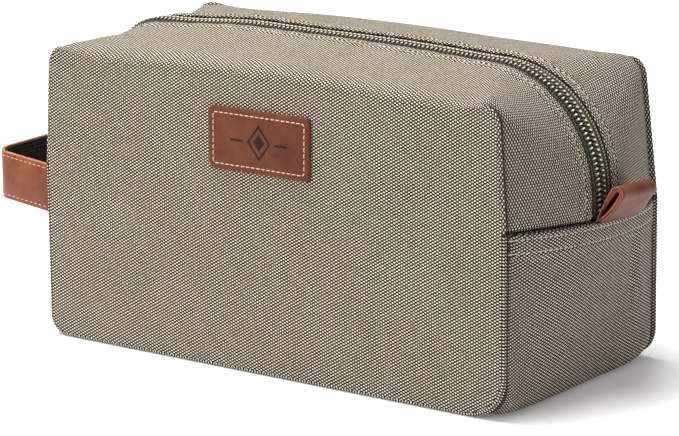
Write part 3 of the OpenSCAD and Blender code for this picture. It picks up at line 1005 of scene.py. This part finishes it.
def tab_loop(r, foot_in, foot_out):
    """Outline of the folded leather seen from the end, foot to foot."""
    ang = np.radians(np.linspace(165, -51, 26))
    fold = FOLD + r * np.stack([np.cos(ang), np.sin(ang)], 1)
    rise = foot_in + (fold[0] - foot_in) * smooth(np.linspace(0, 1, 9))[:-1, None]
    rise[:, 0] -= 0.5 * np.sin(np.linspace(0, math.pi, 9))[:-1]
    fall = fold[-1] + (foot_out - fold[-1]) * np.linspace(0, 1, 12)[1:, None]
    fall[:, 0] += 0.9 * np.sin(np.linspace(0, math.pi, 12))[1:]
    return np.concatenate([rise, fold, fall])


def tab_band(name, outer, inner, w):
    """A folded band between two outlines; it leans and dips toward the back."""
    n = len(outer)
    stations = np.linspace(-w / 2, w / 2, 21)
    ring = np.concatenate([outer, inner[::-1]])
    core = (outer + inner) / 2
    core = np.concatenate([core, core[::-1]])
    rise = smooth((ring[:, 1:2] - 80) / 9)
    k = len(ring)
    v = []
    for y in stations:
        soft = 0.35 * max(0, (abs(y) / (w / 2) - 0.94) / 0.06)     # thinner at the cut edges
        push = 0.4 * math.sin(y / 7.0)
        t = (y + w / 2) / w
        bend = np.array([-1.6 * t + push * 0.5, -0.3 * t + push * 0.2])
        pts = ring + bend * rise + np.array([-0.6 * t, -3.1 * t]) + (core - ring) * soft
        v += [(a, TAB_SHIFT + y, b) for a, b in pts]
    f = rings_to_quads(len(stations), k)
    mats = [0] * len(f)
    for i in (0, len(stations) - 1):
        for j in range(n - 1):
            a, b = i * k + j, i * k + (k - 1 - j)
            q = (a, a + 1, b - 1, b)
            f.append(q if i else q[::-1])
            mats.append(1)
    return two_tone(name, v, f, mats, TAB_LEATHER, EDGE)


FOOT_IN, FOOT_OUT = np.array([140.6, 80.4]), np.array([143.6, 80.6])    # where its ends are sewn
# name, and for both outlines: radius of the fold, how far the feet move together and up
for name, (r0, a0, b0), (r1, a1, b1), narrower, nodes in (
        ("end_tab_outer", (3.5, 0, 0), (2.7, 0.75, 0.3), 0.0, ["end_tab"]),
        ("end_tab_middle", (2.58, 0.85, 0.6), (1.85, 1.15, 1.6), 0.3, ()),
        ("end_tab_inner", (1.73, 1.22, 0.6), (1.0, 1.42, 1.6), 0.7, ())):
    outlines = [tab_loop(r, FOOT_IN + (a, b), FOOT_OUT + (-a, b))
                for r, a, b in ((r0, a0, b0), (r1, a1, b1))]
    ridden(tab_band(name, *outlines, TAB_W - narrower), nodes)

# ---- patch
LW, LH, LX, LZ = 57.0, 29.5, -1.0, 110.0        # width, height, middle


def rounded(w, h, r, n=7, sides=(24, 12)):
    """Outline of a rounded rectangle, with points along its straight sides too."""
    pts = []
    a, b = w - r, h - r
    for q, (cx, cz) in enumerate(((a, b), (-a, b), (-a, -b), (a, -b))):
        for i in range(n):
            turn = math.radians(90 * q + 90 * i / (n - 1))
            pts.append((cx + r * math.cos(turn), cz + r * math.sin(turn)))
        run = 2 * a if q % 2 == 0 else 2 * b
        count = sides[q % 2]
        step = np.array([[-1, 0], [0, -1], [1, 0], [0, 1]][q]) * run / count
        start = np.array(pts[-1])
        pts += [tuple(start + step * i) for i in range(1, count)]
    return np.array(pts)


def face_y(x, z):
    """Front face of the canvas under the patch."""
    a, b = np.asarray(x, float), np.asarray(z, float)
    fade = 1 - np.maximum(np.abs(a) / 129, (b - FACE_Z) / 70) ** 7
    return -FY - fade * (0.9 + 1.1 * waves(a, np.full(a.shape, -FY), b, FRONT_SEED)) - 0.15


# outlines of the patch from its back to its middle: inset, corner radius, height over the cloth
LEVELS = ((0.1, 3, -0.2), (0, 3.1, 0.5), (0.05, 3.1, 1.0), (0.35, 2.9, 1.4), (0.9, 2.6, 1.6),
          (2.3, 1.8, 1.55), (2.7, 1.6, 1.3), (3.1, 1.4, 1.3), (3.6, 1.2, 1.5), (6, 1, 1.55),
          (9, 0.8, 1.56), (12, 0.5, 1.56), (14.6, 0.1, 1.56))
v = []
for inset, r, over in LEVELS:
    o = rounded(LW / 2 - inset, LH / 2 - inset, r)
    x, z = LX + o[:, 0], LZ + o[:, 1]
    v += list(zip(x, face_y(x, z) - over, z))
f = rings_to_quads(len(LEVELS), len(o)) + [tuple(range(len(v) - len(o), len(v)))]
patch = mesh_object("patch", v, f, PATCH)
fix_outside(patch)
ridden(patch, ["label_patch"])

o = rounded(LW / 2 - 2.9, LH / 2 - 2.9, 1.6)
o = np.concatenate([o, o[:1]])
run = run_length(o[:, 0], o[:, 1])
at = np.linspace(0, run[-1], 300)
x, z = LX + np.interp(at, run, o[:, 0]), LZ + np.interp(at, run, o[:, 1])
p = np.stack([x, face_y(x, z) - 1.5, z], 1)
n = np.tile([0.0, -1.0, 0.0], (len(p), 1))
ridden(mesh_object("patch_stitches", *stitches(p, n, *CREAM_STITCH), CREAM))

# a plain pressed ornament: a diamond in a diamond with a short bar on each side
mark_v, mark_f = [], []


def mark_shape(points):
    """Adds points on the patch and returns the number of the first."""
    base = len(mark_v)
    for a, b in points:
        xx, zz = LX + a, LZ + b
        mark_v.append((xx, float(face_y(xx, zz)) - 1.74, zz))
    return base


def diamond(rx, rz, n=6):
    """Outline of a diamond with n points on each side."""
    corners = np.array([(rx, 0), (0, rz), (-rx, 0), (0, -rz), (rx, 0)])
    return [tuple(corners[i] + (corners[i + 1] - corners[i]) * j / n)
            for i in range(4) for j in range(n)]


def mark_ring(rx, rz, tx, tz):
    """A diamond outline of the given thickness along x and z."""
    outer, inner = diamond(rx, rz), diamond(rx - tx, rz - tz)
    a, b, n = mark_shape(outer), mark_shape(inner), len(outer)
    for i in range(n):
        j = (i + 1) % n
        mark_f.append((a + i, a + j, b + j, b + i))


mark_ring(6.5, 8.2, 1.0, 1.26)
mark_ring(3.0, 3.8, 2.9, 3.7)
for sgn in (-1, 1):
    for i in range(4):
        x0, x1 = sgn * (9 + 1.75 * i), sgn * (10.75 + 1.75 * i)
        a = mark_shape([(x0, -0.4), (x1, -0.4), (x1, 0.4), (x0, 0.4)])
        mark_f.append((a, a + 1, a + 2, a + 3))
mark = mesh_object("patch_ornament", mark_v, mark_f, MARK)
fix_outside(mark)
ridden(mark)

# ---- parts kept from the frame
FOAM = plain_material("foam", (0.55, 0.54, 0.50), (0.66, 0.65, 0.61), 700, 0.9, 0.0003)
BOARD = plain_material("board", (0.08, 0.07, 0.055), (0.13, 0.11, 0.09), 300, 0.8, 0.0002)
METAL_PARTS = ("slider_body", "slider_bail", "zip_pull", "zip_end_stop")
for name, mat in (*((name, METAL) for name in METAL_PARTS),
                  ("front_foam", FOAM), ("back_foam", FOAM), ("base_board", BOARD)):
    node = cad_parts[name]
    node.data.materials.clear()
    node.data.materials.append(mat)
    if mat is METAL:
        b = node.modifiers.new("soft edges", "BEVEL")
        b.width, b.segments, b.limit_method = 0.00018, 2, "ANGLE"

# ---- studio
floor_mat = Nodes("floor")
floor_colour = floor_mat.mottle(floor_mat.noise(floor_mat.place(), 3, 2),
                                (0.84, 0.84, 0.84), (0.86, 0.86, 0.86))
floor_mat.finish(floor_colour, 0.9, specular=0.1)
floor_mat.shader.inputs["Emission Color"].default_value = (1, 1, 1, 1)
floor_mat.shader.inputs["Emission Strength"].default_value = 0.12
bpy.ops.mesh.primitive_plane_add(size=14, location=(0, 1.5, -0.0002))
floor = bpy.context.object
floor.name = "floor"
floor.data.materials.append(floor_mat.m)

world = bpy.data.worlds.new("studio")
world.use_nodes = True
background = world.node_tree.nodes["Background"]
background.inputs["Color"].default_value = (1, 1, 1, 1)
background.inputs["Strength"].default_value = 0.42
bpy.context.scene.world = world


def lamp(name, where, size, watts):
    """A white panel that faces the bag."""
    light = bpy.data.lights.new(name, "AREA")
    light.shape, light.size, light.size_y = "RECTANGLE", size[0], size[1]
    light.energy = watts
    obj = bpy.data.objects.new(name, light)
    obj.location = where
    aim = Vector((0, 0, 0.08)) - Vector(where)
    obj.rotation_euler = aim.to_track_quat("-Z", "Y").to_euler()
    bpy.context.scene.collection.objects.link(obj)


lamp("key", (-0.3, -0.15, 1.6), (1.0, 1.0), 39)
lamp("front", (-0.5, -1.6, 0.7), (0.9, 0.7), 12)

# ---- camera
AZ, EL, ROLL = math.radians(35.72), math.radians(13.83), math.radians(0.53)
AIM, DIST = Vector((0, 0, 0.070)), 1.60915
PHOTO_W, PHOTO_H = 679, 436
FOCAL, CENTRE_X, CENTRE_Y = 3435.7, 345.77, 200.9       # in pixels of the photograph
SENSOR = 36
back = Vector((math.sin(AZ) * math.cos(EL), -math.cos(AZ) * math.cos(EL), math.sin(EL)))
right = Vector((math.cos(AZ), math.sin(AZ), 0))
up = back.cross(right)
xa = right * math.cos(ROLL) - up * math.sin(ROLL)
ya = right * math.sin(ROLL) + up * math.cos(ROLL)
camera = bpy.data.cameras.new("camera")
camera.sensor_width = SENSOR
camera.lens = FOCAL * SENSOR / PHOTO_W
camera.shift_x = (PHOTO_W / 2 - CENTRE_X) / PHOTO_W
camera.shift_y = (CENTRE_Y - PHOTO_H / 2) / PHOTO_W
camera.clip_start, camera.clip_end = 0.05, 50
cam = bpy.data.objects.new("camera", camera)
place = Matrix((xa, ya, back)).transposed().to_4x4()
place.translation = AIM + back * DIST
cam.matrix_world = place
bpy.context.scene.collection.objects.link(cam)
bpy.context.scene.camera = cam
bpy.context.scene.view_settings.view_transform = "Standard"
bpy.context.scene.view_settings.look = "None"
